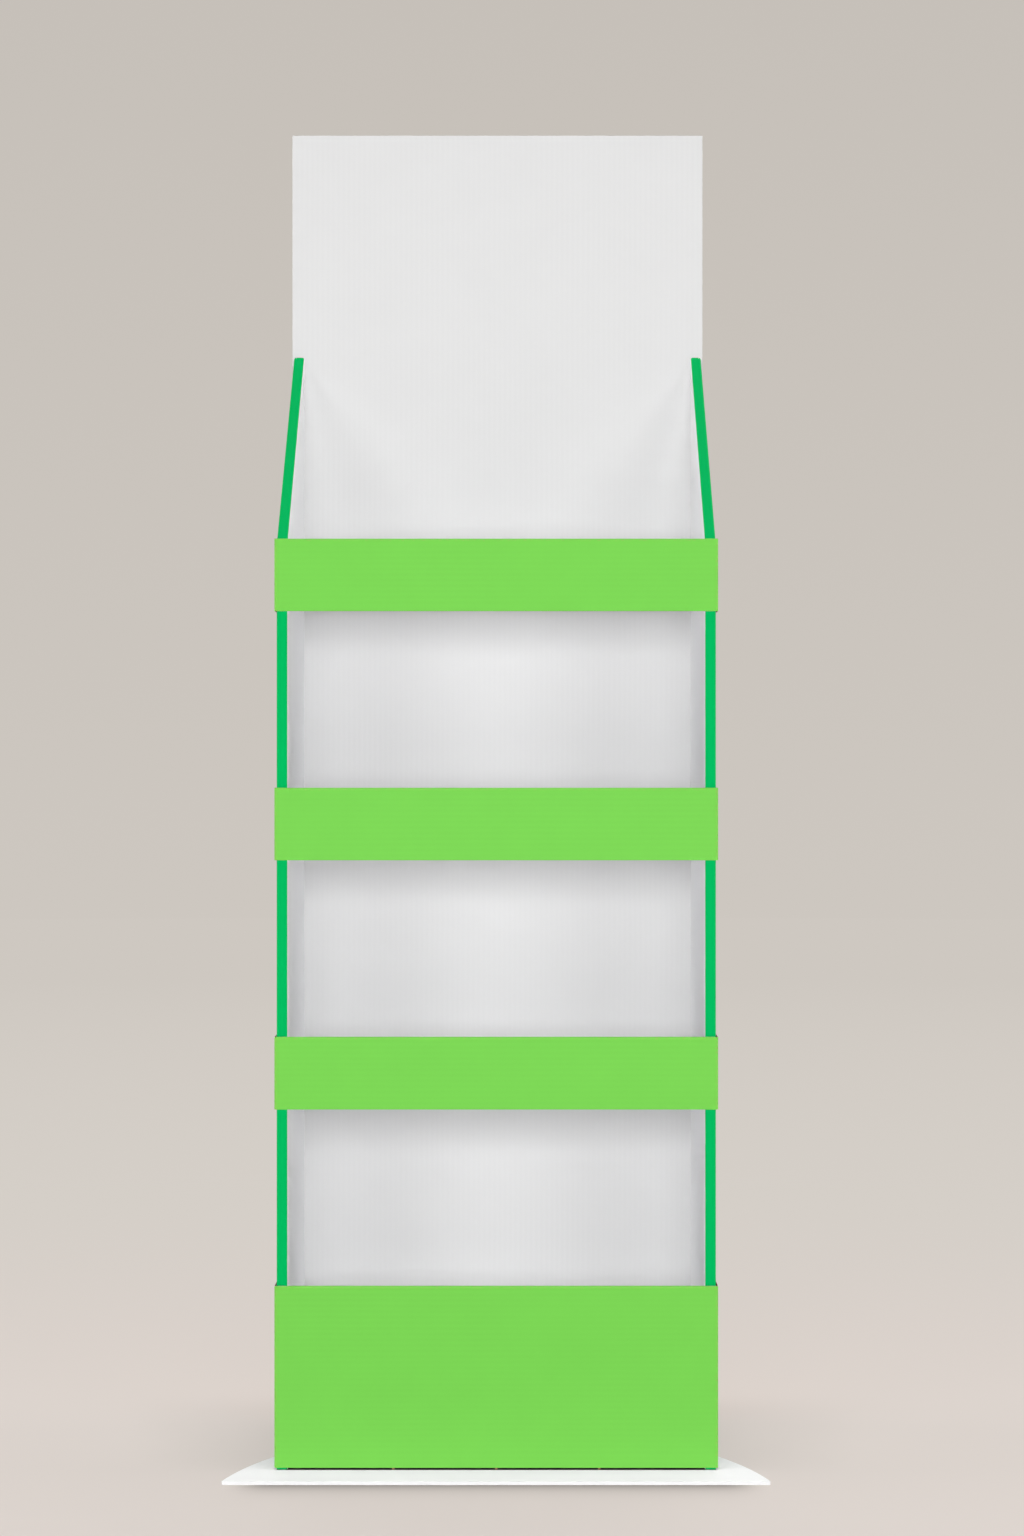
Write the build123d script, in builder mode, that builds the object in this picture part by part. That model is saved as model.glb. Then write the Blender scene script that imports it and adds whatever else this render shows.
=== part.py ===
"""Floor-standing cardboard display stand, in millimetres.

Two hollow side walls, folded from corrugated board, stand on a flared base plate and carry three
shelf trays and a deep base tray between them. A tall back board closes the rear and rises above the
side walls as the header. Each tray is one folded blank: its deck turns up into a rolled front lip,
and the lip wraps round the front edges of the side walls and tucks into their outer skins.

+Z is up, -Y is the front, and the origin is on the floor under the middle of the outline.
"""

import os

from build123d import *

os.makedirs("parts", exist_ok=True)

# Board. A fold is a sharp crease inside and turns as wide as the board is thick outside
board = 2.5
fold_outer = board
fold_radius = fold_outer - board / 2
fold_run = 2 * fold_outer

# Clearances
fit = 0.3
slot_play = 0.4
seam = 0.5

# Base plate: straight behind, flared towards the front
plate_thickness = 4.0
foot_reach = 72.0
foot_width = 615.0
flare_length = 165.0
flare_bulge = 6.0
plate_corner = 1.5

# Body
body_width = 500.0
body_depth = 350.0
wall_thickness = 12.5
slope_hidden = 5.5
slope_rise = 249.0
header_height = 273.0
header_overhang = 2.0

# Trays
plinth_gap = 2.5
plinth_height = 206.5
lip_height = 82.5
lip_thickness = 7.5
shelf_gap = 201.0
deck_drop = 48.0
flange_depth = 20.0

# Ears at the lip's ends and their tuck tabs
ear_length = 45.0
tuck_height = 36.0
tuck_reach = 6.0

# Tabs that carry the decks
side_tab_width = 50.0
side_tab_reach = 7.0
side_tab_setback = 87.5
rear_tab_width = 60.0
rear_tab_spacing = 240.0

# Tabs that locate the side walls in the base plate
foot_tab_width = 40.0
foot_tab_reach = 3.5

# Steel tubes under the shelf decks
bar_diameter = 12.0
bar_wall = 1.0
bar_end_play = 0.5
front_bar_setback = 30.0

# Crossed dividers inside the base
cross_divider_count = 2
depth_divider_count = 3

# Places along Y
plate_front = -(foot_reach + body_depth + board) / 2
front = plate_front + foot_reach
back = front + body_depth
rear = back + board
flare_end = plate_front + flare_length
ear_end = front + ear_length
face_middle = front - board / 2
inner_lip_middle = face_middle + lip_thickness - board
deck_front = inner_lip_middle + fold_run
deck_rear = back - fit
flange_rear = deck_rear - fold_run

# Places along X
wall_outer = body_width / 2
wall_inner = wall_outer - wall_thickness
back_half = wall_outer + header_overhang
ear_middle = wall_outer + board / 2
tray_half = wall_inner - fit
deck_half = tray_half - fold_run

# Heights
base_lip_bottom = plate_thickness + plinth_gap
base_lip_top = base_lip_bottom + plinth_height
shelf_pitch = lip_height + shelf_gap
lips = {"base_tray": (base_lip_bottom, base_lip_top)}
for level, shelf_name in enumerate(("lower_shelf", "middle_shelf", "top_shelf"), start=1):
    shelf_lip_top = base_lip_top + level * shelf_pitch
    lips[shelf_name] = (shelf_lip_top - lip_height, shelf_lip_top)
deck_tops = {name: lip_top - deck_drop for name, (lip_bottom, lip_top) in lips.items()}
slope_start = lips["top_shelf"][1] - slope_hidden
wall_top = slope_start + slope_rise
stand_top = wall_top + header_height

# Where tabs stand along the depth and the width
side_tab_ys = (front + side_tab_setback, back - side_tab_setback)
rear_tab_xs = (-rear_tab_spacing / 2, rear_tab_spacing / 2)

# Where the steel tubes run: under the decks, through their flanges and into the side walls
bar_ys = {"front_bar": front + front_bar_setback, "middle_bar": (front + back) / 2}
bar_drop = board + 2 * fit + bar_diameter / 2
bar_hole_radius = bar_diameter / 2 + fit
bar_half = wall_outer - board - bar_end_play


def tuck_middles(lip_bottom, lip_top):
    """Heights of an ear's tuck tabs: one at mid-height, or two on an ear that is much taller."""
    height = lip_top - lip_bottom
    shares = (0.5,) if height < 4 * tuck_height else (0.25, 0.75)
    return [lip_bottom + share * height for share in shares]


def finish(piece, name):
    """Labels a finished piece and writes it to its own file."""
    piece.part.label = name
    export_step(piece.part, f"parts/{name}.step")


# Base plate: a straight front edge, and sides that curve in to the width of the back board
with BuildPart() as base_plate:
    with BuildSketch():
        with BuildLine():
            Line((0, plate_front), (foot_width / 2, plate_front))
            SagittaArc((foot_width / 2, plate_front), (back_half, flare_end), -flare_bulge)
            Polyline((back_half, flare_end), (back_half, rear), (0, rear))
            mirror(about=Plane.YZ)
        make_face()
        fillet(vertices().group_by(Axis.Y)[0], radius=plate_corner)
        with Locations((0, side_tab_ys[0]), (0, side_tab_ys[1])):
            with GridLocations(2 * wall_outer - board, 0, 2, 1):
                Rectangle(
                    board + 2 * slot_play,
                    foot_tab_width + 2 * slot_play,
                    mode=Mode.SUBTRACT,
                )
    extrude(amount=plate_thickness)
finish(base_plate, "base_plate")


# Back board: one flat sheet from the plate to the header, slotted for the decks' rear tabs
with BuildPart() as back_board:
    with BuildSketch(Plane.XZ.offset(-rear)):
        with Locations((0, (plate_thickness + stand_top) / 2)):
            Rectangle(2 * back_half, stand_top - plate_thickness)
        with Locations([(x, top - board / 2) for top in deck_tops.values() for x in rear_tab_xs]):
            Rectangle(
                rear_tab_width + 2 * slot_play, board + 2 * slot_play, mode=Mode.SUBTRACT
            )
    extrude(amount=board)
finish(back_board, "back_board")


# Side wall: one sheet folded into a hollow wall. Its outer skin turns through the narrow front
# face into the inner lining, and the front face slopes back to the header above the top shelf.
with BuildPart() as left_side_wall:
    with BuildSketch(Plane.YZ.offset(-wall_outer)):
        with BuildLine():
            Polyline(
                (front, plate_thickness),
                (front, slope_start),
                (back, wall_top),
                (back, plate_thickness),
                close=True,
            )
        make_face()
    extrude(amount=wall_thickness)
    offset(amount=-board, openings=left_side_wall.faces().sort_by(Axis.Z)[0])
    upright_folds = left_side_wall.edges().filter_by(Axis.Z).group_by(Axis.Y)[0]
    slope_face = left_side_wall.faces().filter_by(lambda face: face.normal_at().Z > 0.1)[0]
    slope_folds = slope_face.edges().filter_by(Axis.X, reverse=True)
    fillet(upright_folds + slope_folds, radius=fold_outer)

    # Seam where the lining's rear flange meets the outer skin
    with BuildSketch(Plane.XY.offset(plate_thickness)):
        with Locations((-wall_outer + board + seam / 2, back - board / 2)):
            Rectangle(seam, board)
    extrude(amount=wall_top - plate_thickness, mode=Mode.SUBTRACT)

    # Slots in the outer skin for the ears' tuck tabs
    with BuildSketch(Plane.YZ.offset(-wall_outer)):
        for lip_bottom, lip_top in lips.values():
            with Locations([(ear_end - board / 2, z) for z in tuck_middles(lip_bottom, lip_top)]):
                Rectangle(board + 2 * slot_play, tuck_height + 2 * slot_play)
    extrude(amount=board, mode=Mode.SUBTRACT)

    # Slots in the lining for the decks' side tabs, and holes for the steel tubes
    with BuildSketch(Plane.YZ.offset(-wall_inner)):
        for name, deck_top in deck_tops.items():
            with Locations([(y, deck_top - board / 2) for y in side_tab_ys]):
                Rectangle(side_tab_width + 2 * slot_play, board + 2 * slot_play)
            if name != "base_tray":
                with Locations([(y, deck_top - bar_drop) for y in bar_ys.values()]):
                    Circle(bar_hole_radius)
    extrude(amount=-board, mode=Mode.SUBTRACT)

    # Tabs under the outer skin, which stand in the base plate
    with BuildSketch(Plane.YZ.offset(-wall_outer)):
        with Locations([(y, plate_thickness - foot_tab_reach / 2) for y in side_tab_ys]):
            Rectangle(foot_tab_width, foot_tab_reach)
    extrude(amount=board)
finish(left_side_wall, "left_side_wall")

with BuildPart() as right_side_wall:
    mirror(left_side_wall.part, about=Plane.YZ)
finish(right_side_wall, "right_side_wall")


def fold_tray(name):
    """Folds one tray from its blank: deck, flanges, rolled lip, front face, ears and tabs."""
    lip_bottom, lip_top = lips[name]
    deck_top = deck_tops[name]
    deck_middle = deck_top - board / 2
    roll_start = lip_top - fold_run
    with BuildPart() as tray:
        # Front face, folded back at both ends into the ears
        with BuildSketch(Plane.XY.offset(lip_bottom)):
            with BuildLine():
                FilletPolyline(
                    (-ear_middle, ear_end - fold_outer),
                    (-ear_middle, face_middle),
                    (ear_middle, face_middle),
                    (ear_middle, ear_end - fold_outer),
                    radius=fold_radius,
                )
            trace(line_width=board)
        extrude(amount=lip_top - lip_bottom)

        # Rolled lip between the side walls, and the inner panel down to the deck
        with BuildSketch(Plane.XY.offset(roll_start)):
            with Locations((0, face_middle)):
                Rectangle(2 * tray_half, board)
        extrude(amount=fold_run, mode=Mode.SUBTRACT)
        with BuildSketch(Plane.YZ):
            with BuildLine():
                FilletPolyline(
                    (face_middle, roll_start),
                    (face_middle, lip_top - board / 2),
                    (inner_lip_middle, lip_top - board / 2),
                    (inner_lip_middle, deck_middle),
                    (deck_front, deck_middle),
                    radius=fold_radius,
                )
            trace(line_width=board)
        extrude(amount=tray_half, both=True)

        # Deck
        with BuildSketch(Plane.XY.offset(deck_top - board)):
            with Locations((0, (deck_front + flange_rear) / 2)):
                Rectangle(2 * deck_half, flange_rear - deck_front)
        extrude(amount=board)

        # Side and rear flanges, with the corners between them cut away
        with BuildSketch(Plane.XZ.offset(-flange_rear)):
            with BuildLine():
                FilletPolyline(
                    (deck_half, deck_middle),
                    (tray_half - board / 2, deck_middle),
                    (tray_half - board / 2, deck_top - flange_depth),
                    radius=fold_radius,
                )
            trace(line_width=board)
            mirror(about=Plane.YZ)
        extrude(amount=flange_rear - deck_front - seam)
        with BuildSketch(Plane.YZ):
            with BuildLine():
                FilletPolyline(
                    (flange_rear, deck_middle),
                    (deck_rear - board / 2, deck_middle),
                    (deck_rear - board / 2, deck_top - flange_depth),
                    radius=fold_radius,
                )
            trace(line_width=board)
        extrude(amount=deck_half, both=True)

        # Windows that the tabs leave in the flanges, then the tabs, flat with the deck
        tab_tip = wall_inner + side_tab_reach
        with BuildSketch(Plane.XY.offset(deck_top)):
            with Locations([(0, y) for y in side_tab_ys]):
                with GridLocations(2 * (tray_half - fold_outer), 0, 2, 1):
                    Rectangle(fold_run, side_tab_width + 2 * seam)
        extrude(amount=-(tab_tip - tray_half + board), mode=Mode.SUBTRACT)
        with BuildSketch(Plane.XY.offset(deck_top)):
            with Locations([(x, deck_rear - fold_outer) for x in rear_tab_xs]):
                Rectangle(rear_tab_width + 2 * seam, fold_run)
        extrude(amount=-(rear - deck_rear + board), mode=Mode.SUBTRACT)
        with BuildSketch(Plane.XY.offset(deck_top - board)):
            with Locations([(0, y) for y in side_tab_ys]):
                Rectangle(2 * tab_tip, side_tab_width)
            with Locations([(x, (flange_rear + rear) / 2) for x in rear_tab_xs]):
                Rectangle(rear_tab_width, rear - flange_rear)
        extrude(amount=board)

        # Tuck tabs, folded in from the ears' rear edges
        for middle in tuck_middles(lip_bottom, lip_top):
            with BuildSketch(Plane.XY.offset(middle - tuck_height / 2)):
                with BuildLine():
                    FilletPolyline(
                        (ear_middle, ear_end - fold_run),
                        (ear_middle, ear_end - board / 2),
                        (wall_outer - tuck_reach, ear_end - board / 2),
                        radius=fold_radius,
                    )
                trace(line_width=board)
                mirror(about=Plane.YZ)
            extrude(amount=tuck_height)

        # Holes for the steel tubes through the side flanges
        if name != "base_tray":
            with BuildSketch(Plane.YZ):
                with Locations([(y, deck_top - bar_drop) for y in bar_ys.values()]):
                    Circle(bar_hole_radius)
            extrude(amount=wall_inner, both=True, mode=Mode.SUBTRACT)
    return tray


for tray_name in lips:
    finish(fold_tray(tray_name), tray_name)


# Steel tubes that stiffen the shelf decks
for shelf_name, deck_top in deck_tops.items():
    if shelf_name == "base_tray":
        continue
    for bar_name, y in bar_ys.items():
        with BuildPart() as bar:
            with BuildSketch(Plane.YZ):
                with Locations((y, deck_top - bar_drop)):
                    Circle(bar_diameter / 2)
                    Circle(bar_diameter / 2 - bar_wall, mode=Mode.SUBTRACT)
            extrude(amount=bar_half, both=True)
        finish(bar, f"{shelf_name}_{bar_name}")


# Crossed dividers that carry the base tray's deck, slotted into each other at half height
divider_height = deck_tops["base_tray"] - board - fit - plate_thickness
divider_middle = plate_thickness + divider_height / 2
divider_front = front + fit
divider_rear = deck_rear - board - fit
divider_half = tray_half - board - fit
lap_depth = divider_height / 2 + fit
lap_width = board + 2 * slot_play
cross_pitch = (divider_rear - divider_front) / (cross_divider_count + 1)
depth_pitch = 2 * divider_half / (depth_divider_count + 1)
cross_ys = [divider_front + cross_pitch * (i + 1) for i in range(cross_divider_count)]
depth_xs = [-divider_half + depth_pitch * (i + 1) for i in range(depth_divider_count)]

for number, y in enumerate(cross_ys, start=1):
    with BuildPart() as divider:
        with BuildSketch(Plane.XZ.offset(-y - board / 2)):
            with Locations((0, divider_middle)):
                Rectangle(2 * divider_half, divider_height)
            with Locations([(x, plate_thickness + divider_height) for x in depth_xs]):
                Rectangle(lap_width, 2 * lap_depth, mode=Mode.SUBTRACT)
        extrude(amount=board)
    finish(divider, f"cross_divider_{number}")

for number, x in enumerate(depth_xs, start=1):
    with BuildPart() as divider:
        with BuildSketch(Plane.YZ.offset(x - board / 2)):
            with Locations(((divider_front + divider_rear) / 2, divider_middle)):
                Rectangle(divider_rear - divider_front, divider_height)
            with Locations([(y, plate_thickness) for y in cross_ys]):
                Rectangle(lap_width, 2 * lap_depth, mode=Mode.SUBTRACT)
        extrude(amount=board)
    finish(divider, f"depth_divider_{number}")
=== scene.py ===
"""Looks of the cardboard display stand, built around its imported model.

The folded trays and the back board are made again as real corrugated sheets: two liners with a waved
medium between them, carried along each sheet's folds. The side walls, base plate, steel tubes and
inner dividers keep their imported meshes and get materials. Everything is in metres, +Z up, front to -Y.
"""

import math
from collections import namedtuple

import bpy
import numpy as np
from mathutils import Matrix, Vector


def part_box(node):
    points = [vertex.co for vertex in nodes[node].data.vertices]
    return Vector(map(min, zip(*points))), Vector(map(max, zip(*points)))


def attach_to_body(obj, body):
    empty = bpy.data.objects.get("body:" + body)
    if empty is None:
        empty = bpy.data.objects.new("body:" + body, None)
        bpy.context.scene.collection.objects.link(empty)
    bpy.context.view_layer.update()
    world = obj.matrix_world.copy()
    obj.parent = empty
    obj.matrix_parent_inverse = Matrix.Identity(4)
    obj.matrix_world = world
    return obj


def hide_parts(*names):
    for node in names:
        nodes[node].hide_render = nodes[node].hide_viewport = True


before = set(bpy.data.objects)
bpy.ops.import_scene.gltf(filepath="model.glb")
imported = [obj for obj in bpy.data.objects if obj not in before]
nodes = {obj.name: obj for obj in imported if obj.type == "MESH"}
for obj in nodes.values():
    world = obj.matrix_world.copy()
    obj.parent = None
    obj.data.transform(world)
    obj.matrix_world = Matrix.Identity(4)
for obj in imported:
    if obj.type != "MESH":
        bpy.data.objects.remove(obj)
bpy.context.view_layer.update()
MM = 0.001

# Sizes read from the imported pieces
plate_low, plate_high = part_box("base_plate")
back_low, back_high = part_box("back_board")
wall_low, wall_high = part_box("left_side_wall")
board = back_high.y - back_low.y
front = wall_low.y
back = back_low.y
rear = back_high.y
back_half = back_high.x
wall_outer = -wall_low.x
wall_inner = -wall_high.x
floor_level = plate_low.z
plate_top = plate_high.z

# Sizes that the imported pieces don't show by their boxes
fit = 0.3 * MM
slot_play = 0.4 * MM
seam = 0.5 * MM
lip_thickness = 7.5 * MM
deck_drop = 48 * MM
flange_depth = 20 * MM
ear_length = 45 * MM
tuck_height = 36 * MM
tuck_reach = 6 * MM
side_tab_width = 50 * MM
side_tab_reach = 7 * MM
side_tab_setback = 87.5 * MM
rear_tab_width = 60 * MM
rear_tab_spacing = 240 * MM
bar_radius = 6 * MM
bar_hole_radius = 6.3 * MM
front_bar_setback = 30 * MM

# Corrugated board: liners, and the waved medium between them
liner = 0.28 * MM
medium = 0.24 * MM
glue_line = 0.01 * MM
flute_pitch = 6.4 * MM
fold_radius = board / 2 + 0.1 * MM
fold_run = 2 * board
worn_margin = 4 * MM
lining_turn = 0.35 * MM

# Grid lines in each bend, in each flute and round each hole, and how far even ones keep from the rest
bend_steps = 6
wave_steps = 8
hole_steps = 8
hole_core = 0.75
hole_rim = 0.12 * MM
line_clearance = 0.15 * MM
nearly_nothing = 1e-9
sharp_angle = math.radians(40)

# Axes, the order of a sheet's materials, and the mark of a strip without print
X, Y, Z = np.eye(3)
PRINT, WHITE, KRAFT, RAW = range(4)
UNPRINTED = -1.0

# Places that follow from those sizes
half_board = board / 2
face_middle = front - half_board
inner_lip_middle = face_middle + lip_thickness - board
deck_front = inner_lip_middle + fold_run
deck_rear = back - fit
flange_rear = deck_rear - fold_run
ear_end = front + ear_length
ear_middle = wall_outer + half_board
tray_half = wall_inner - fit
deck_half = tray_half - fold_run
tab_tip = wall_inner + side_tab_reach
side_tab_ys = (front + side_tab_setback, back - side_tab_setback)
rear_tab_xs = (-rear_tab_spacing / 2, rear_tab_spacing / 2)
fold_reach = half_board + fold_radius
bar_drop = board + 2 * fit + bar_radius
bar_ys = (front + front_bar_setback, (front + back) / 2)
wave_height = half_board - liner - glue_line - medium / 2
tray_names = ("base_tray", "lower_shelf", "middle_shelf", "top_shelf")

# Finishes: how far mottling, fibres and flutes change the colour, roughness, its spread, sheen, bump
Finish = namedtuple("Finish", "mottling fibre flutes rough rough_spread sheen bump")
print_finish = Finish(0.05, 0.05, 0.014, 0.5, 0.16, 0.08, 0.5)
deep_print_finish = Finish(0.04, 0.05, 0.014, 0.62, 0.16, 0.02, 0.5)
white_finish = Finish(0.02, 0.03, 0.01, 0.62, 0.12, 0.1, 0.6)
kraft_finish = Finish(0.12, 0.16, 0.02, 0.72, 0.12, 0.1, 0.6)
raw_finish = Finish(0.08, 0.2, 0.0, 0.8, 0.12, 0.1, 0.6)
plate_finish = Finish(0.03, 0.04, 0.0, 0.6, 0.12, 0.1, 0.3)
divider_finish = Finish(0.03, 0.04, 0.0, 0.75, 0.12, 0.1, 0.3)

# Edge of a print or coating, and the share of its colour that stays out of the light it passes on
print_softness = 0.1 * MM
bleed_cut = 0.9

# Patterns: features per metre, levels of detail, and how strong each finer level is
mottle_pattern = (18.0, 3.0, 0.55)
fibre_pattern = (260.0, 5.0, 0.7)
speck_pattern = (1500.0, 2.0, 0.55)
uneven_pattern = (7.0, 2.0, 0.55)
solid_mottle_pattern = (14.0, 3.0, 0.55)
solid_fibre_pattern = (900.0, 4.0, 0.7)
drawn_pattern = (1.0, 3.0, 0.55)
plating_pattern = (60.0, 3.0, 0.55)
floor_grain_pattern = (350.0, 3.0, 0.55)
fibre_narrowing = 5.0
drawn_stretch = (12.0, 900.0, 900.0)

# Heights of the bumps, as shares of their distance, and those distances
flute_height = 3.5
fibre_height = 0.05
speck_height = 0.02
board_bump = 1 * MM
solid_bump = 0.2 * MM
tube_bump = 0.1 * MM

# Zinc plating: how far clouds and drawing marks change its colour and roughness, and its relief
cloud_tone = 0.2
mark_tone = 0.15
cloud_rough = 0.12
mark_rough = 0.2
zinc_rough = 0.2
zinc_relief = 0.2

# Wear of the print on a fold: how fibres raise it, where it breaks through, how softly, and how far
wear_gain = 1.3
wear_edge = 0.72
wear_softness = 0.1
wear_share = 0.25

# Light: soft boxes (place, aim, width and height, watts), and lobes (direction, strength, power)
ambient = 0.09
light_lobes = (
    ((0.0, 0.0, 1.0), 0.02, 2.0),
    ((0.15, 1.0, 0.35), 1.9, 4.0),
)
soft_boxes = (
    ((0.0, -4.8, 1.04), (0.0, 0.0, 0.9), (1.6, 0.96), 88.0),
    ((-2.2, -4.4, 1.0), (0.0, 0.0, 0.9), (1.2, 0.96), 33.0),
    ((2.2, -4.4, 1.0), (0.0, 0.0, 0.9), (1.2, 0.96), 33.0),
    ((0.0, -0.8, 14.0), (0.0, -0.45, 0.0), (3.6, 1.0), 760.0),
    ((-5.0, 0.4, 1.6), (0.0, 0.0, 0.8), (2.4, 2.4), 85.0),
    ((5.0, 0.4, 1.6), (0.0, 0.0, 0.8), (2.4, 2.4), 85.0),
)
light_bounces = 12
horizon_fade = (-0.07, 0.2)

# Floor: its size and finish, where it gives way to the backdrop, and the painted shadow before the plate
floor_radius = 16.0
floor_rings = 24
floor_spokes = 96
floor_grain = 0.03
floor_rough = 0.9
floor_sheen = 0.1
floor_evenness = 0.55
floor_lit = (0.4, 3.0)
floor_far = (1.5, 10.0)
foot_shade_depth = 0.6
foot_shade_reach = 27 * MM
foot_shade_edge = 1 * MM

# Camera: lens in millimetres, and its place right of the middle, before the front and over the floor
lens_length = 89.48
camera_side = 0.0179
camera_distance = 4.345
camera_height = 0.8025
camera_sight = 100.0


class Wire:
    """One shader socket. Arithmetic on it adds Math nodes, and node() adds any other node."""

    def __init__(self, tree, out=None):
        self.tree = tree
        self.out = out

    def node(self, kind, settings=None, sockets=None, output=0):
        """Adds a node: its settings first, then the values or links of its sockets."""
        made = self.tree.nodes.new("ShaderNode" + kind)
        for key, value in (settings or {}).items():
            setattr(made, key, value)
        for key, value in (sockets or {}).items():
            if isinstance(value, Wire):
                self.tree.links.new(value.out, made.inputs[key])
            else:
                made.inputs[key].default_value = value
        return Wire(self.tree, made.outputs[output])

    def parts(self):
        """The three numbers of this place, each as a wire."""
        split = self.node("SeparateXYZ", sockets={0: self})
        return [Wire(self.tree, out) for out in split.out.node.outputs]

    def math(self, operation, *values):
        """Adds a Math node on this socket and other values."""
        sockets = dict(enumerate((self, *values)))
        return self.node("Math", {"operation": operation}, sockets)

    def __add__(self, other):
        return self.math("ADD", other)

    def __sub__(self, other):
        return self.math("SUBTRACT", other)

    def __rsub__(self, other):
        return self.node("Math", {"operation": "SUBTRACT"}, {0: other, 1: self})

    def __mul__(self, other):
        return self.math("MULTIPLY", other)

    __radd__ = __add__
    __rmul__ = __mul__

    def share(self, low, high):
        """How far this value has come from low to high, from 0 to 1, in a straight line."""
        return self.node("MapRange", sockets={"Value": self, "From Min": low, "From Max": high})

    def step(self, low, high, least=0.0):
        """The least share where this value is under low, and 1 where it is over high, with soft ends."""
        sockets = {"Value": self, "From Min": low, "From Max": high, "To Min": least}
        return self.node("MapRange", {"interpolation_type": "SMOOTHSTEP"}, sockets)

    def above(self, edge, soft):
        """1 where this value is above the edge, 0 where it is below, with a soft step between."""
        return self.step(edge - soft, edge + soft)

    def mix(self, low, high):
        """A colour between low and high, by this value."""
        settings = {"data_type": "RGBA"}
        return self.node("Mix", settings, {0: self, 6: low, 7: high}, output=2)


def linear(red, green, blue):
    """A colour as written on screen, 0 to 255, in linear light, by the usual curve of a screen."""
    shares = [value / 255 for value in (red, green, blue)]
    return [
        share / 12.92 if share <= 0.04045 else ((share + 0.055) / 1.055) ** 2.4 for share in shares
    ] + [1.0]


def shade(colour, factor):
    """A linear colour made lighter or darker by a factor."""
    return [channel * factor for channel in colour[:3]] + [1.0]


def grey_of(colour):
    """The grey as light as a linear colour: the eye's share of its red, green and blue."""
    red, green, blue = colour[:3]
    return [0.2126 * red + 0.7152 * green + 0.0722 * blue] * 3 + [1.0]


light_green = linear(119, 208, 80)
dark_green = linear(0, 183, 94)
white = linear(228, 228, 228)
# White of the tray insides and wall linings: painted lighter than the back board's white, as painted
# fill light for the shaded insides
painted_fill_white = linear(250, 250, 251)
bright_white = linear(250, 250, 250)
kraft = linear(186, 149, 108)
kraft_dark = linear(148, 112, 76)
# Dark grey painted on the base plate under the stand: painted shade for the gap under the plinth
painted_gap_grey = linear(92, 90, 84)
black = linear(0, 0, 0)
zinc = linear(200, 203, 206)
floor_paper = linear(224, 212, 207)
backdrop_near = linear(214, 208, 201)
backdrop_low = linear(206, 200, 193)
backdrop_high = linear(198, 192, 185)


def new_material(name):
    """An empty material, with its principled shader and a wire to build from."""
    material = bpy.data.materials.new(name)
    material.use_nodes = True
    tree = material.node_tree
    return material, tree.nodes["Principled BSDF"], Wire(tree)


def attach(start, shader, name, wire):
    """Links a wire to one of the shader's sockets."""
    start.tree.links.new(wire.out, shader.inputs[name])


def object_place(start):
    """Place on a piece, which is its place in the room too, since each piece sits at the origin."""
    return start.node("TexCoord", output="Object")


def noise(start, place, pattern):
    """Noise from 0 to 1, by a pattern's features per metre, detail and roughness."""
    scale, detail, rough = pattern
    sockets = {"Vector": place, "Scale": scale, "Detail": detail, "Roughness": rough}
    return start.node("TexNoise", sockets=sockets)


def tinted(tone, colour):
    """A colour made lighter or darker by a tone: at 0 it stays, and at 0.5 it is half as light again."""
    return (tone + 0.5).mix(shade(colour, 0.5), shade(colour, 1.5))


def bump(start, shader, strength, distance, height):
    """Gives the shader small relief from a pattern of heights."""
    sockets = {"Strength": strength, "Distance": distance, "Height": height}
    attach(start, shader, "Normal", start.node("Bump", sockets=sockets))


def calm(start, base, colour):
    """The base colour as it is seen, and mostly its grey for the light that it passes on to others."""
    passed_on = start.node("LightPath", output="Is Diffuse Ray")
    return (passed_on * bleed_cut).mix(base, grey_of(colour))


def board_place(start, folded):
    """Place on a sheet: across its flutes, and along them.

    A folded sheet has a map of its own. On a packed side wall the flutes stand upright, so x + y runs
    across them on every face.
    """
    if folded:
        across, along, _ = start.node("TexCoord", output="UV").parts()
        return across, along
    x, y, z = object_place(start).parts()
    return x + y, z


def board_surface(start, shader, folded, finish):
    """Liner over flutes: mottling, fibres along the machine direction, and flutes showing through as
    bump and as faint stripes of painted shade in the colour.

    Gives the shader its roughness, sheen and bump, and returns the colour's tone and the fibres.
    """
    across, along = board_place(start, folded)
    flat = start.node("CombineXYZ", sockets={0: across, 1: along})
    streaks = start.node("CombineXYZ", sockets={0: across * fibre_narrowing, 1: along})
    mottle = noise(start, flat, mottle_pattern)
    fibres = noise(start, streaks, fibre_pattern)
    speck = noise(start, flat, speck_pattern)
    ridge = (across * (2 * math.pi / flute_pitch)).math("SINE")
    uneven = noise(start, flat, uneven_pattern)
    tone = (mottle - 0.5) * finish.mottling + (fibres - 0.5) * finish.fibre
    # The flutes' ripple as faint stripes in the colour: painted shade, besides the real bump below
    tone += ridge * finish.flutes * uneven
    height = ridge * uneven * (finish.flutes * flute_height)
    height += fibres * fibre_height + speck * speck_height
    attach(start, shader, "Roughness", fibres * finish.rough_spread + finish.rough)
    shader.inputs["Specular IOR Level"].default_value = finish.sheen
    bump(start, shader, finish.bump, board_bump, height)
    return tone, fibres


def printed_board(name, colour, under, finish):
    """Liner of corrugated board in one colour, with the print worn off a little along the folds."""
    material, shader, start = new_material(name)
    tone, fibres = board_surface(start, shader, True, finish)
    fold = start.node("Attribute", {"attribute_name": "fold"}, output="Fac")
    worn = (fold * (fibres * wear_gain)).above(wear_edge, wear_softness) * wear_share
    base = worn.mix(tinted(tone, colour), under)
    attach(start, shader, "Base Color", calm(start, base, colour))
    return material


def plain_liner(name, colour, finish):
    """Unprinted liner: colour with mottling and fibres, and the flutes showing through, partly as
    painted shade.
    """
    material, shader, start = new_material(name)
    tone, _ = board_surface(start, shader, True, finish)
    attach(start, shader, "Base Color", tinted(tone, colour))
    return material


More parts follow.
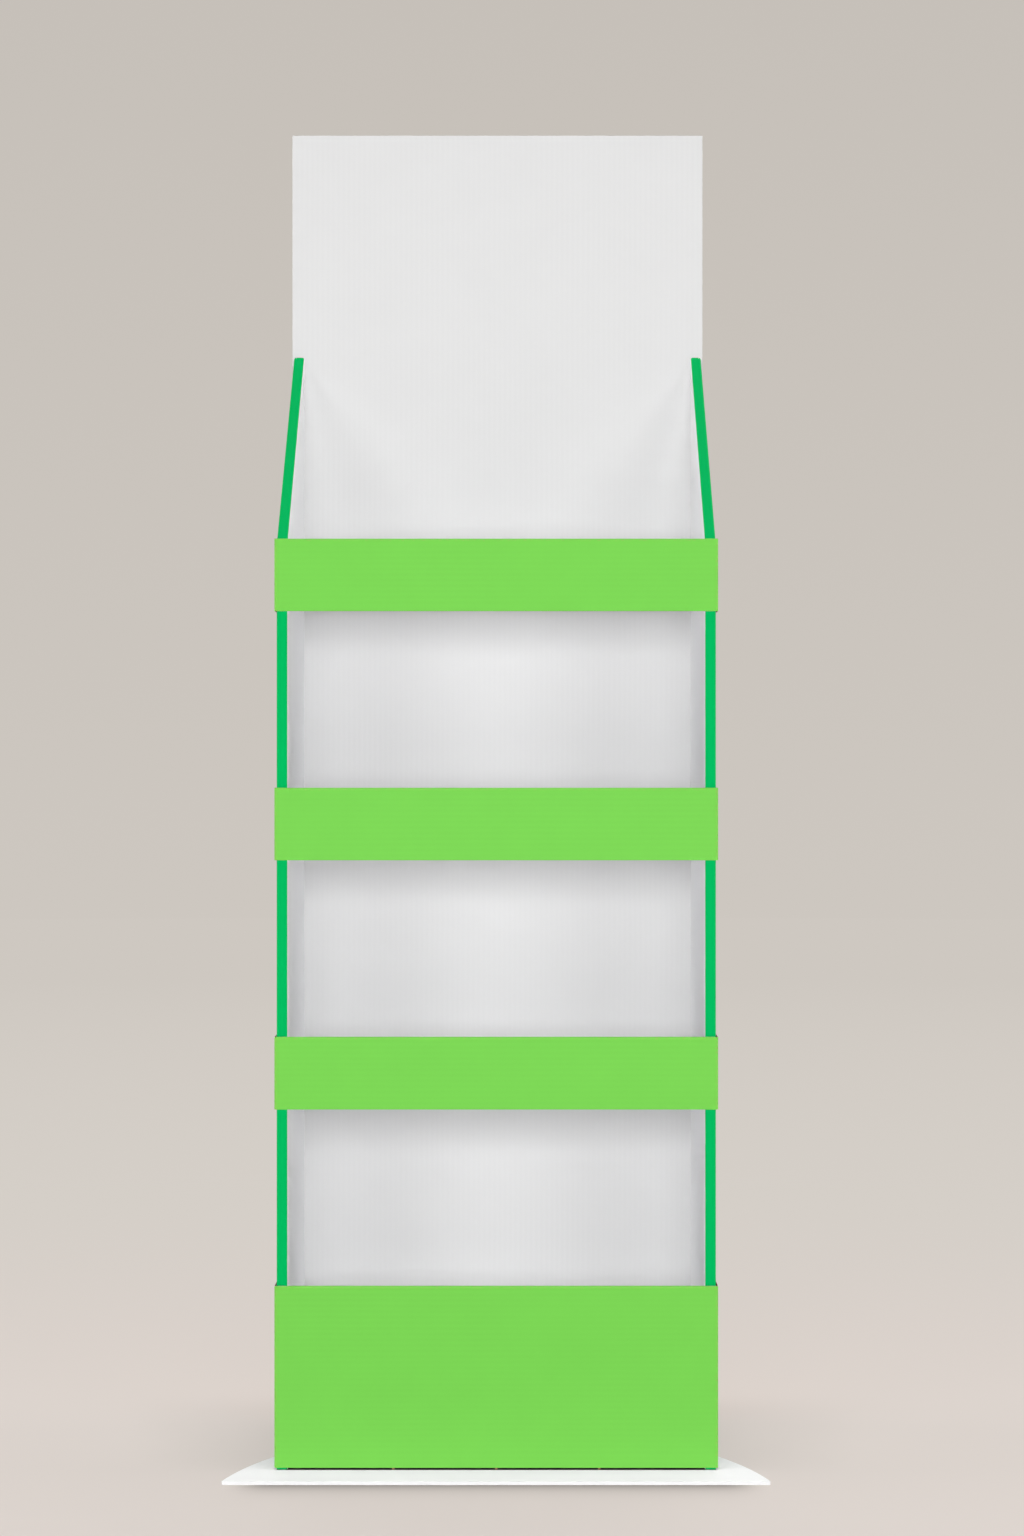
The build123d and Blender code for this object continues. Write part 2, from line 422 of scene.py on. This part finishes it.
def wall_board(name, finish):
    """Side wall: deep green print outside and on the narrow front face, white on the lining, painted
    lighter as fill light for the shaded inside.
    """
    material, shader, start = new_material(name)
    tone, _ = board_surface(start, shader, False, finish)
    outward = object_place(start).parts()[0].math("ABSOLUTE")
    printed = outward.above(wall_inner + lining_turn, print_softness)
    base = calm(start, tinted(tone, dark_green), dark_green)
    attach(start, shader, "Base Color", printed.mix(tinted(tone, painted_fill_white), base))
    return material


def covered(place):
    """1 on the base plate's top face where the stand covers it, and 0 elsewhere: there the plate is
    painted dark grey as shade for the gap under the plinth.
    """
    x, y, z = place.parts()
    between = 1 - x.math("ABSOLUTE").above(wall_outer, print_softness)
    behind = y.above(front - board + fit, print_softness) * (1 - y.above(back, print_softness))
    return between * behind * z.above(plate_top - half_board, print_softness)


def solid_board(name, colour, finish, painted_gap_shade=None):
    """Board without flutes: soft mottling and short fibres in every direction.

    Where the stand covers the base plate, it is painted dark grey: painted shade, so that the gap under
    the plinth looks dark.
    """
    material, shader, start = new_material(name)
    place = object_place(start)
    mottle = noise(start, place, solid_mottle_pattern)
    fibres = noise(start, place, solid_fibre_pattern)
    tone = (mottle - 0.5) * finish.mottling + (fibres - 0.5) * finish.fibre
    base = tinted(tone, colour)
    if painted_gap_shade:
        # Painted shade: dark grey where the stand covers the plate, so the gap under the plinth looks
        # dark
        base = covered(place).mix(base, tinted(tone, painted_gap_shade))
    attach(start, shader, "Base Color", base)
    attach(start, shader, "Roughness", fibres * finish.rough_spread + finish.rough)
    shader.inputs["Specular IOR Level"].default_value = finish.sheen
    bump(start, shader, finish.bump, solid_bump, fibres)
    return material


def zinc_tube(name):
    """Zinc-plated steel tube, drawn along its length, with cloudy plating."""
    material, shader, start = new_material(name)
    place = object_place(start)
    drawn = start.node("VectorMath", {"operation": "MULTIPLY"}, {0: place, 1: drawn_stretch})
    marks = noise(start, drawn, drawn_pattern)
    cloud = noise(start, place, plating_pattern)
    tone = (cloud - 0.5) * cloud_tone + (marks - 0.5) * mark_tone
    attach(start, shader, "Base Color", tinted(tone, zinc))
    attach(start, shader, "Roughness", marks * mark_rough + cloud * cloud_rough + zinc_rough)
    shader.inputs["Metallic"].default_value = 1.0
    bump(start, shader, zinc_relief, tube_bump, marks)
    return material


class FoldedLine:
    """Middle line of a folded sheet in one plane: straight runs joined by arcs of one radius.

    A point on a run or arc lies on the chord from its start: the chord's length is the distance times
    the sine of half the turn so far over half the turn, and it heads halfway through that turn.
    """

    def __init__(self, corners):
        corners = np.array(corners, float)
        runs = np.diff(corners, axis=0)
        headings = np.arctan2(runs[:, 1], runs[:, 0])
        turns = (np.diff(headings) + math.pi) % (2 * math.pi) - math.pi
        taken = fold_radius * np.tan(np.abs(turns) / 2)
        straight = np.hypot(runs[:, 0], runs[:, 1])
        straight[:-1] -= taken
        straight[1:] -= taken
        self.lengths = np.zeros(2 * len(runs) - 1)
        self.lengths[::2] = straight
        self.lengths[1::2] = fold_radius * np.abs(turns)
        self.bends = np.zeros_like(self.lengths)
        self.bends[1::2] = np.sign(turns) / fold_radius
        self.headings = np.repeat(headings, 2)[:-1]
        ends = np.cumsum(self.lengths)
        self.starts = np.concatenate([[0.0], ends[:-1]])
        self.length = ends[-1]
        steps = self.chord(self.lengths, self.headings, self.bends)
        self.points = corners[0] + np.vstack([[0.0, 0.0], np.cumsum(steps, axis=0)[:-1]])

    @staticmethod
    def chord(distance, heading, bend):
        """Straight step from the start of a run or arc to the point at a distance along it."""
        size = distance * np.sinc(bend * distance / (2 * math.pi))
        aim = heading + bend * distance / 2
        return size[..., None] * np.stack([np.cos(aim), np.sin(aim)], axis=-1)

    def at(self, s):
        """Point and left-hand normal at each distance along the line."""
        piece = np.clip(np.searchsorted(self.starts, s, side="right") - 1, 0, len(self.starts) - 1)
        distance = s - self.starts[piece]
        heading, bend = self.headings[piece], self.bends[piece]
        point = self.points[piece] + self.chord(distance, heading, bend)
        turned = heading + bend * distance
        return point, np.stack([-np.sin(turned), np.cos(turned)], axis=-1)

    def lines(self):
        """Distances where the sheet needs grid lines: its ends, its folds, and their worn margins."""
        folds = self.starts[1::2, None] + self.lengths[1::2, None] * np.linspace(0, 1, bend_steps + 1)
        margins = np.concatenate([self.starts[1::2] - worn_margin, self.starts[2::2] + worn_margin])
        inside = margins[(margins > 0) & (margins < self.length)]
        return np.concatenate([[0.0, self.length], folds.ravel(), inside])

    def nearness(self, s):
        """1 on a fold, falling to 0 at the edge of its worn margin."""
        middles = self.starts[1::2] + self.lengths[1::2] / 2
        if not len(middles):
            return np.zeros_like(s)
        away = np.abs(s[..., None] - middles) - self.lengths[1::2] / 2
        return np.clip(1 - away.min(axis=-1) / worn_margin, 0, 1)


class Strip:
    """One run of board: a folded line in the plane of the first two axes, spread along the third.

    A point's place is its line's point, plus its height times the line's normal, plus its spread.
    Windows (line low, high, spread low, high) are cut out of it, and holes (line, spread, radius)
    are punched through it. It is printed as far along its line as it says.
    """

    def __init__(self, corners, axes, spread, flutes_cross, start=0.0):
        self.line = FoldedLine(corners)
        self.axes = np.array(axes, float)
        self.spread = spread
        self.flutes_cross = flutes_cross
        self.windows = []
        self.holes = []
        self.start = start
        self.printed = self.line.length
        self.reverse = WHITE

    def grid(self, waved):
        """Grid lines along the line and the spread, with the waves' own lines where they are needed."""
        along = [self.line.lines()]
        across = [np.array(self.spread)]
        for low, high, spread_low, spread_high in self.windows:
            along.append(np.array([low, high]))
            across.append(np.array([spread_low, spread_high]))
        for place, spread, radius in self.holes:
            rings = np.concatenate([np.linspace(-1, 1, hole_steps + 1) * radius * hole_core, [-1, 1]])
            rings[-2:] *= radius + hole_rim
            along.append(place + rings)
            across.append(spread + rings)
        step = flute_pitch / wave_steps
        waves = [step if waved and self.flutes_cross else None]
        waves.append(step if waved and not self.flutes_cross else None)
        return spaced(np.concatenate(along), waves[0]), spaced(np.concatenate(across), waves[1])

    def cut(self, s, w):
        """True for each cell whose middle is left after the windows and holes are cut."""
        left = np.ones(s.shape, bool)
        for low, high, spread_low, spread_high in self.windows:
            left &= ~((s > low) & (s < high) & (w > spread_low) & (w < spread_high))
        for place, spread, radius in self.holes:
            left &= np.maximum(np.abs(s - place), np.abs(w - spread)) > radius * hole_core
        return left

    def rounded(self, s, w):
        """Draws the square round each hole into a circle, fading out to a slightly larger square."""
        for place, spread, radius in self.holes:
            ds, dw = s - place, w - spread
            square = np.maximum(np.abs(ds), np.abs(dw))
            core = radius * hole_core
            fade = np.clip((square - core) / (radius + hole_rim - core), 0, 1)
            inside = square < radius + hole_rim
            scale = (1 - fade) * radius / np.maximum(np.hypot(ds, dw), nearly_nothing) + fade
            s = np.where(inside, place + ds * scale, s)
            w = np.where(inside, spread + dw * scale, w)
        return s, w

    def layer(self, low, high, waved, finishes):
        """One closed layer between two heights over the middle line. A waved one swings with the flutes.

        Its finishes are the materials of its high side, its low side and its cut edges.
        """
        s_lines, w_lines = self.grid(waved)
        s, w = np.meshgrid(s_lines, w_lines, indexing="ij")
        s_middle, w_middle = np.meshgrid(middles(s_lines), middles(w_lines), indexing="ij")
        left = self.cut(s_middle, w_middle)
        s, w = self.rounded(s, w)
        point, normal = self.line.at(s)
        across = (s if self.flutes_cross else w) + (self.start if self.flutes_cross else 0.0)
        along = w if self.flutes_cross else s
        swing = wave_height * np.sin(across * (2 * math.pi / flute_pitch)) if waved else 0.0
        sides = []
        for height in (low, high):
            in_plane = point + normal * (swing + height * np.ones_like(s))[..., None]
            sides.append(in_plane @ self.axes[:2] + w[..., None] * self.axes[2])
        corners = np.stack(sides).reshape(-1, 3)
        faces, groups, cells = closed_faces(left)
        if np.linalg.det(self.axes[[0, 2, 1]]) < 0:
            faces = faces[:, ::-1]
        finish = np.array(finishes)[groups]
        if finishes[0] == PRINT:
            beyond = (groups == 0) & (s_middle.ravel()[cells] > self.printed)
            finish[beyond] = WHITE
        place = np.tile(np.stack([across, along], axis=-1).reshape(-1, 2), (2, 1))
        worn = np.tile(self.line.nearness(s).ravel(), 2)
        return corners, faces, finish, place, worn


def middles(lines):
    """Middles of the cells between grid lines."""
    return (lines[1:] + lines[:-1]) / 2


def spaced(needed, step):
    """Sorted grid lines: the needed ones, and evenly spaced ones that keep clear of them.

    The needed ones are rounded to a tenth of a micrometre, so that lines at one place become one.
    """
    needed = np.unique(np.round(needed, 7))
    if step is None:
        return needed
    even = np.arange(needed[0], needed[-1], step)
    clear = np.abs(even[:, None] - needed).min(axis=1) > line_clearance
    return np.sort(np.concatenate([needed, even[clear]]))


def closed_faces(left):
    """Faces of a closed slab over the cells that are left of a grid.

    Each cell gives a face on the high side and one on the low side, and each border between a cell
    that is left and one that isn't gives a wall. Returns the faces, their group (0 high side, 1 low
    side, 2 wall) and the cell that each comes from.
    """
    rows, columns = left.shape
    index = np.arange((rows + 1) * (columns + 1)).reshape(rows + 1, columns + 1)
    cell = np.arange(rows * columns).reshape(rows, columns)
    top = index.size
    a, b, c, d = index[:-1, :-1], index[1:, :-1], index[1:, 1:], index[:-1, 1:]
    padded = np.pad(left, 1)
    before_s = left & ~padded[:-2, 1:-1]
    after_s = left & ~padded[2:, 1:-1]
    before_w = left & ~padded[1:-1, :-2]
    after_w = left & ~padded[1:-1, 2:]
    parts = [
        (left, 0, (a + top, b + top, c + top, d + top)),
        (left, 1, (a, d, c, b)),
        (before_s, 2, (a, a + top, d + top, d)),
        (after_s, 2, (b, c, c + top, b + top)),
        (before_w, 2, (a, b, b + top, a + top)),
        (after_w, 2, (d, d + top, c + top, c)),
    ]
    faces = np.concatenate([np.stack([corner[mask] for corner in f], axis=1) for mask, _, f in parts])
    groups = np.concatenate([np.full(mask.sum(), group) for mask, group, _ in parts])
    cells = np.concatenate([cell[mask] for mask, _, _ in parts])
    return faces, groups, cells


def sheet_layers(strip):
    """The two liners of a strip, and the waved medium between them."""
    return [
        strip.layer(half_board - liner, half_board, False, (PRINT, KRAFT, WHITE)),
        strip.layer(-half_board, -half_board + liner, False, (KRAFT, strip.reverse, strip.reverse)),
        strip.layer(-medium / 2, medium / 2, True, (RAW, RAW, RAW)),
    ]


def sheet_piece(name, strips, node, white_side):
    """Joins the layers of a sheet's strips into one mesh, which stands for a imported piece."""
    layers = [layer for strip in strips for layer in sheet_layers(strip)]
    offsets = np.cumsum([0] + [len(layer[0]) for layer in layers[:-1]])
    corners = np.concatenate([layer[0] for layer in layers])
    faces = np.concatenate([layer[1] + offset for layer, offset in zip(layers, offsets)])
    finish = np.concatenate([layer[2] for layer in layers])
    place = np.concatenate([layer[3] for layer in layers])
    worn = np.concatenate([layer[4] for layer in layers])
    used, loops = np.unique(faces.ravel(), return_inverse=True)
    mesh = bpy.data.meshes.new(name)
    mesh.vertices.add(len(used))
    mesh.vertices.foreach_set("co", corners[used].astype(np.float32).ravel())
    mesh.loops.add(faces.size)
    mesh.loops.foreach_set("vertex_index", loops.astype(np.int32).ravel())
    mesh.polygons.add(len(faces))
    mesh.polygons.foreach_set("loop_start", np.arange(0, faces.size, 4, dtype=np.int32))
    mesh.polygons.foreach_set("material_index", finish.astype(np.int32))
    mesh.update(calc_edges=True)
    board_map = mesh.uv_layers.new(name="board")
    board_map.data.foreach_set("uv", place[faces.ravel()].astype(np.float32).ravel())
    fold = mesh.attributes.new("fold", "FLOAT", "POINT")
    fold.data.foreach_set("value", worn[used].astype(np.float32))
    mesh.shade_smooth()
    mesh.set_sharp_from_angle(angle=sharp_angle)
    for material in (light_print, white_side, kraft_liner, raw_board):
        mesh.materials.append(material)
    piece = bpy.data.objects.new(name, mesh)
    bpy.context.scene.collection.objects.link(piece)
    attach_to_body(piece, "root")
    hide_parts(node)


def tray_front(lip_bottom, lip_top):
    """Front face and both ears of a tray, one strip from the right ear round to the left one."""
    end = ear_end - fold_reach
    right = [(ear_middle, end), (ear_middle, face_middle)]
    left = [(-ear_middle, face_middle), (-ear_middle, end)]
    strip = Strip(right + left, (X, Y, Z), (lip_bottom, lip_top), False)
    centre = strip.line.length / 2
    strip.windows.append((centre - tray_half, centre + tray_half, lip_top - fold_run, lip_top))
    return strip


def tray_bed(lip_top, deck_top):
    """Rolled lip, inner panel, deck and rear flange of a tray, one strip from the front to the back."""
    deck_middle = deck_top - half_board
    flange_end = deck_top - flange_depth
    corners = [
        (face_middle, lip_top - fold_run),
        (face_middle, lip_top - half_board),
        (inner_lip_middle, lip_top - half_board),
        (inner_lip_middle, deck_middle),
        (deck_rear - half_board, deck_middle),
        (deck_rear - half_board, flange_end),
    ]
    strip = Strip(corners, (Y, Z, X), (-tray_half, tray_half), True, start=lip_top - fold_run)
    end = strip.line.length
    deck_fold, deck_run, rear_fold = strip.line.starts[5:8]
    strip.printed = deck_fold
    deck_start = deck_run + deck_front - inner_lip_middle - fold_radius
    tab_root = rear_fold - (deck_rear - fold_reach - flange_rear)
    tab_window_end = end - (flange_depth - (rear - deck_rear + board))
    strip.windows += [
        (deck_start, end, deck_half, tray_half),
        (deck_start, end, -tray_half, -deck_half),
    ]
    tab_half = rear_tab_width / 2 + seam
    strip.windows += [(tab_root, tab_window_end, x - tab_half, x + tab_half) for x in rear_tab_xs]
    return strip


def tray_side(side, deck_top, bored):
    """Flange along one side of a deck, with the tabs' windows and the steel tubes' holes."""
    flange_end = deck_top - flange_depth
    deck_middle = deck_top - half_board
    edge = tray_half - half_board
    corners = [(deck_half, deck_middle), (edge, deck_middle), (edge, flange_end)]
    spread = (deck_front + seam, flange_rear)
    strip = Strip(corners, (side * X, Z, Y), spread, False)
    tab_half = side_tab_width / 2 + seam
    window_end = strip.line.length - (flange_depth - (tab_tip - tray_half + board))
    strip.windows += [(0.0, window_end, y - tab_half, y + tab_half) for y in side_tab_ys]
    if bored:
        drop = strip.line.length - (flange_depth - bar_drop)
        strip.holes += [(drop, y, bar_hole_radius) for y in bar_ys]
    strip.printed = UNPRINTED
    return strip


def tray_tabs(side, lip_bottom, lip_top, deck_middle):
    """Tabs on one side of a tray: those of the deck, and those that tuck the ear into the wall."""
    half = side_tab_width / 2
    corners = [(deck_half, deck_middle), (tab_tip, deck_middle)]
    strips = [Strip(corners, (side * X, Z, Y), (y - half, y + half), False) for y in side_tab_ys]
    for strip in strips:
        strip.printed = UNPRINTED
    tuck_y = ear_end - half_board
    tip = wall_outer - tuck_reach
    corners = [(tip, tuck_y), (ear_middle, tuck_y), (ear_middle, ear_end - fold_reach)]
    for middle in tuck_middles(lip_bottom, lip_top):
        spread = (middle - tuck_height / 2, middle + tuck_height / 2)
        strips.append(Strip(corners, (side * X, Y, Z), spread, False))
    return strips


def rear_tabs(deck_middle):
    """Tabs of a deck that stand through the back board."""
    corners = [(flange_rear, deck_middle), (rear, deck_middle)]
    half = rear_tab_width / 2
    strips = [Strip(corners, (Y, Z, X), (x - half, x + half), True) for x in rear_tab_xs]
    for strip in strips:
        strip.printed = UNPRINTED
    return strips


def tuck_middles(lip_bottom, lip_top):
    """Heights of an ear's tuck tabs: one at mid-height, or two on an ear over four tabs high."""
    height = lip_top - lip_bottom
    shares = (0.5,) if height < 4 * tuck_height else (0.25, 0.75)
    return [lip_bottom + share * height for share in shares]


def tray(name):
    """One tray, folded from a single sheet whose flutes run from side to side."""
    low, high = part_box(name)
    deck_top = high.z - deck_drop
    deck_middle = deck_top - half_board
    strips = [tray_front(low.z, high.z), tray_bed(high.z, deck_top)]
    for side in (1, -1):
        strips.append(tray_side(side, deck_top, name != "base_tray"))
        strips += tray_tabs(side, low.z, high.z, deck_middle)
    strips += rear_tabs(deck_middle)
    sheet_piece(name + "_sheet", strips, name, tray_liner)


def back_sheet():
    """Back board: one flat sheet with upright flutes, slotted for the decks' rear tabs."""
    middle = (back + rear) / 2
    corners = [(-back_half, -middle), (back_half, -middle)]
    strip = Strip(corners, (X, -Y, Z), (back_low.z, back_high.z), True)
    strip.printed = UNPRINTED
    strip.reverse = KRAFT
    half = rear_tab_width / 2 + slot_play
    slot_half = half_board + slot_play
    for name in tray_names:
        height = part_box(name)[1].z - deck_drop - half_board
        for x in rear_tab_xs:
            place = x + back_half
            strip.windows.append((place - half, place + half, height - slot_half, height + slot_half))
    sheet_piece("back_board_sheet", [strip], "back_board", back_liner)


def dress(names, material):
    """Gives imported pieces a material."""
    for name in names:
        nodes[name].data.materials.clear()
        nodes[name].data.materials.append(material)


def floor_disc():
    """Round floor: rings whose radius grows with the square of their number, flat at floor level."""
    radius = floor_radius * (np.arange(1, floor_rings + 1) / floor_rings) ** 2
    angle = np.arange(floor_spokes) * (2 * math.pi / floor_spokes)
    x = radius[:, None] * np.cos(angle)
    y = radius[:, None] * np.sin(angle)
    corners = np.stack([x, y, np.full_like(x, floor_level)], axis=-1).reshape(-1, 3)
    corners = np.vstack([corners, [[0.0, 0.0, floor_level]]])
    index = np.arange(floor_rings * floor_spokes).reshape(floor_rings, floor_spokes)
    after = np.roll(index, -1, axis=1)
    quads = np.stack([index[:-1], index[1:], after[1:], after[:-1]], axis=-1).reshape(-1, 4)
    hub = np.stack([np.full(floor_spokes, index.size), index[0], after[0]], axis=-1)
    mesh = bpy.data.meshes.new("floor")
    mesh.from_pydata(corners.tolist(), [], quads.tolist() + hub.tolist())
    mesh.materials.append(floor_finish())
    floor = bpy.data.objects.new("floor", mesh)
    bpy.context.scene.collection.objects.link(floor)


def floor_finish():
    """Pale warm paper floor, lit near the stand. Farther off, the camera sees the backdrop's colour."""
    material, shader, start = new_material("floor_paper")
    place = object_place(start)
    away = start.node("VectorMath", {"operation": "LENGTH"}, {0: place}, output="Value")
    grain = noise(start, place, floor_grain_pattern)
    # Painted shadow before the plate, darkening both the lit floor and the backdrop colour that the
    # camera sees
    dark = foot_shade(place)
    paper = dark.mix(tinted((grain - 0.5) * floor_grain, floor_paper), black)
    attach(start, shader, "Base Color", calm(start, paper, floor_paper))
    shader.inputs["Roughness"].default_value = floor_rough
    shader.inputs["Specular IOR Level"].default_value = floor_sheen
    far = away.share(*floor_far)
    shown = dark.mix(far.mix(backdrop_near, backdrop_low), black)
    backdrop = start.node("Emission", sockets={"Color": shown})
    beyond = away.step(*floor_lit, floor_evenness)
    surface = Wire(start.tree, shader.outputs["BSDF"])
    blend = start.node("MixShader", sockets={0: beyond * seen_ray(start), 1: surface, 2: backdrop})
    start.tree.links.new(blend.out, start.tree.nodes["Material Output"].inputs["Surface"])
    return material


def foot_shade(place):
    """Painted shadow on the floor before the plate's front edge, where soft light leaves none: how dark
    it is.

    It is the depth times e to the minus distance over reach, and it ends before the plate's corners.
    """
    x, y, _ = place.parts()
    before = plate_low.y - y
    fall = (before * (-1 / foot_shade_reach)).math("EXPONENT") * before.above(0.0, foot_shade_edge)
    ends = x.math("ABSOLUTE").above(plate_high.x - foot_shade_reach, foot_shade_reach)
    return fall * (1 - ends) * foot_shade_depth


def seen_ray(start):
    """1 for a ray from the camera, straight or by way of gloss or clear material, and 0 for light."""
    straight = start.node("LightPath", output="Is Camera Ray")
    gloss = start.node("LightPath", output="Is Glossy Ray")
    through = start.node("LightPath", output="Is Transmission Ray")
    return straight.math("MAXIMUM", gloss).math("MAXIMUM", through)


def studio_light():
    """Soft light from all round, a little stronger from above and most of all from behind.

    Each lobe adds its strength times the cosine of the angle from its direction, to a power. The
    camera sees a plain backdrop instead.
    """
    world = bpy.data.worlds.new("studio")
    world.use_nodes = True
    bpy.context.scene.world = world
    start = Wire(world.node_tree)
    lit = world.node_tree.nodes["Background"]
    place = start.node("TexCoord", output="Generated")
    level = None
    for direction, strength, power in light_lobes:
        sockets = {0: place, 1: tuple(Vector(direction).normalized())}
        cosine = start.node("VectorMath", {"operation": "DOT_PRODUCT"}, sockets, output="Value")
        lobe = cosine.math("MAXIMUM", 0.0).math("POWER", power) * strength
        level = lobe + ambient if level is None else level + lobe
    start.tree.links.new(level.out, lit.inputs["Strength"])
    lit.inputs["Color"].default_value = (1.0, 1.0, 1.0, 1.0)
    up = place.parts()[2].share(*horizon_fade)
    seen_sockets = {"Color": up.mix(backdrop_low, backdrop_high), "Strength": 1.0}
    seen = start.node("Background", sockets=seen_sockets)
    surface = Wire(start.tree, lit.outputs["Background"])
    blend = start.node("MixShader", sockets={0: seen_ray(start), 1: surface, 2: seen})
    start.tree.links.new(blend.out, world.node_tree.nodes["World Output"].inputs["Surface"])


def place_soft_boxes():
    """Rectangular lamps, unseen by the camera: three in front, one far overhead, one on each side."""
    for number, (place, aim, size, watts) in enumerate(soft_boxes, start=1):
        lamp = bpy.data.lights.new(f"soft_box_{number}", "AREA")
        lamp.shape = "RECTANGLE"
        lamp.size, lamp.size_y = size
        lamp.energy = watts
        holder = bpy.data.objects.new(f"soft_box_{number}", lamp)
        holder.location = place
        holder.rotation_euler = (Vector(aim) - Vector(place)).to_track_quat("-Z", "Y").to_euler()
        holder.visible_camera = False
        bpy.context.scene.collection.objects.link(holder)


def camera():
    """Camera at the photograph's place: level, a little right of the middle, facing the stand."""
    lens = bpy.data.cameras.new("camera")
    lens.lens = lens_length
    lens.clip_end = camera_sight
    holder = bpy.data.objects.new("camera", lens)
    bpy.context.scene.collection.objects.link(holder)
    holder.location = (camera_side, front - camera_distance, camera_height)
    holder.rotation_euler = (math.radians(90), 0, 0)
    bpy.context.scene.camera = holder


light_print = printed_board("light_green_print", light_green, kraft, print_finish)
# Tray insides take the lighter white: painted fill light for the shaded compartments
tray_liner = plain_liner("white_tray_liner", painted_fill_white, white_finish)
back_liner = plain_liner("white_back_liner", white, white_finish)
kraft_liner = plain_liner("kraft_liner", kraft, kraft_finish)
raw_board = plain_liner("raw_board", kraft_dark, raw_finish)
deep_print = wall_board("deep_green_print", deep_print_finish)
plate_board = solid_board("plate_board", bright_white, plate_finish, painted_gap_grey)
divider_board = solid_board("divider_board", kraft, divider_finish)
steel = zinc_tube("zinc_tube")

for tray_name in tray_names:
    tray(tray_name)
back_sheet()
dress(["left_side_wall", "right_side_wall"], deep_print)
dress(["base_plate"], plate_board)
dress([name for name in nodes if "divider" in name], divider_board)
dress([name for name in nodes if name.endswith("_bar")], steel)

floor_disc()
studio_light()
place_soft_boxes()
camera()
bpy.context.scene.view_settings.view_transform = "Standard"
bpy.context.scene.cycles.diffuse_bounces = light_bounces
